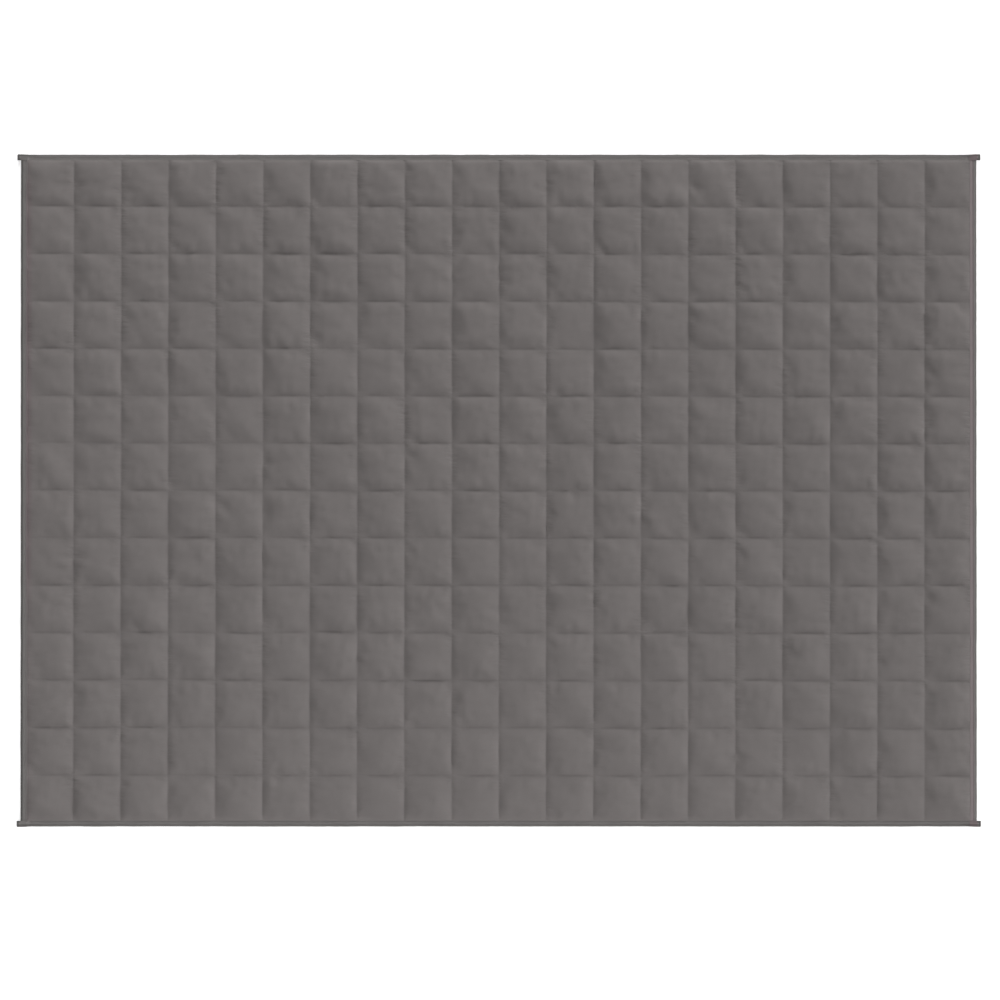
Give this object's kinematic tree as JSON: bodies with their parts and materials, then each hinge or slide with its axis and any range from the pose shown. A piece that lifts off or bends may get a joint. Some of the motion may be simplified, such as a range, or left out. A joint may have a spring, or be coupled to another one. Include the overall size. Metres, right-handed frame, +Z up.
{
  "type": "weighted blanket",
  "caption": "Flat weighted blanket, quilted in square filled pockets, with a folded tape on each edge and short tape ends past the corners.",
  "frame": {"origin": "on the floor under the middle of the blanket", "axes": "+X along the long edges, +Y towards the top edge, +Z up through the cloth"},
  "size_m": [2.0174, 1.409, 0.0112],
  "materials": {
    "quilted_cloth": "matte close plain weave, warm dark grey",
    "tape_cloth": "matte plain weave tape, dark grey"
  },
  "bodies": {
    "root": {"quilted_body": "quilted_cloth", "tape_top": "tape_cloth", "tape_bottom": "tape_cloth", "tape_left": "tape_cloth", "tape_right": "tape_cloth"}
  },
  "joints": []
}
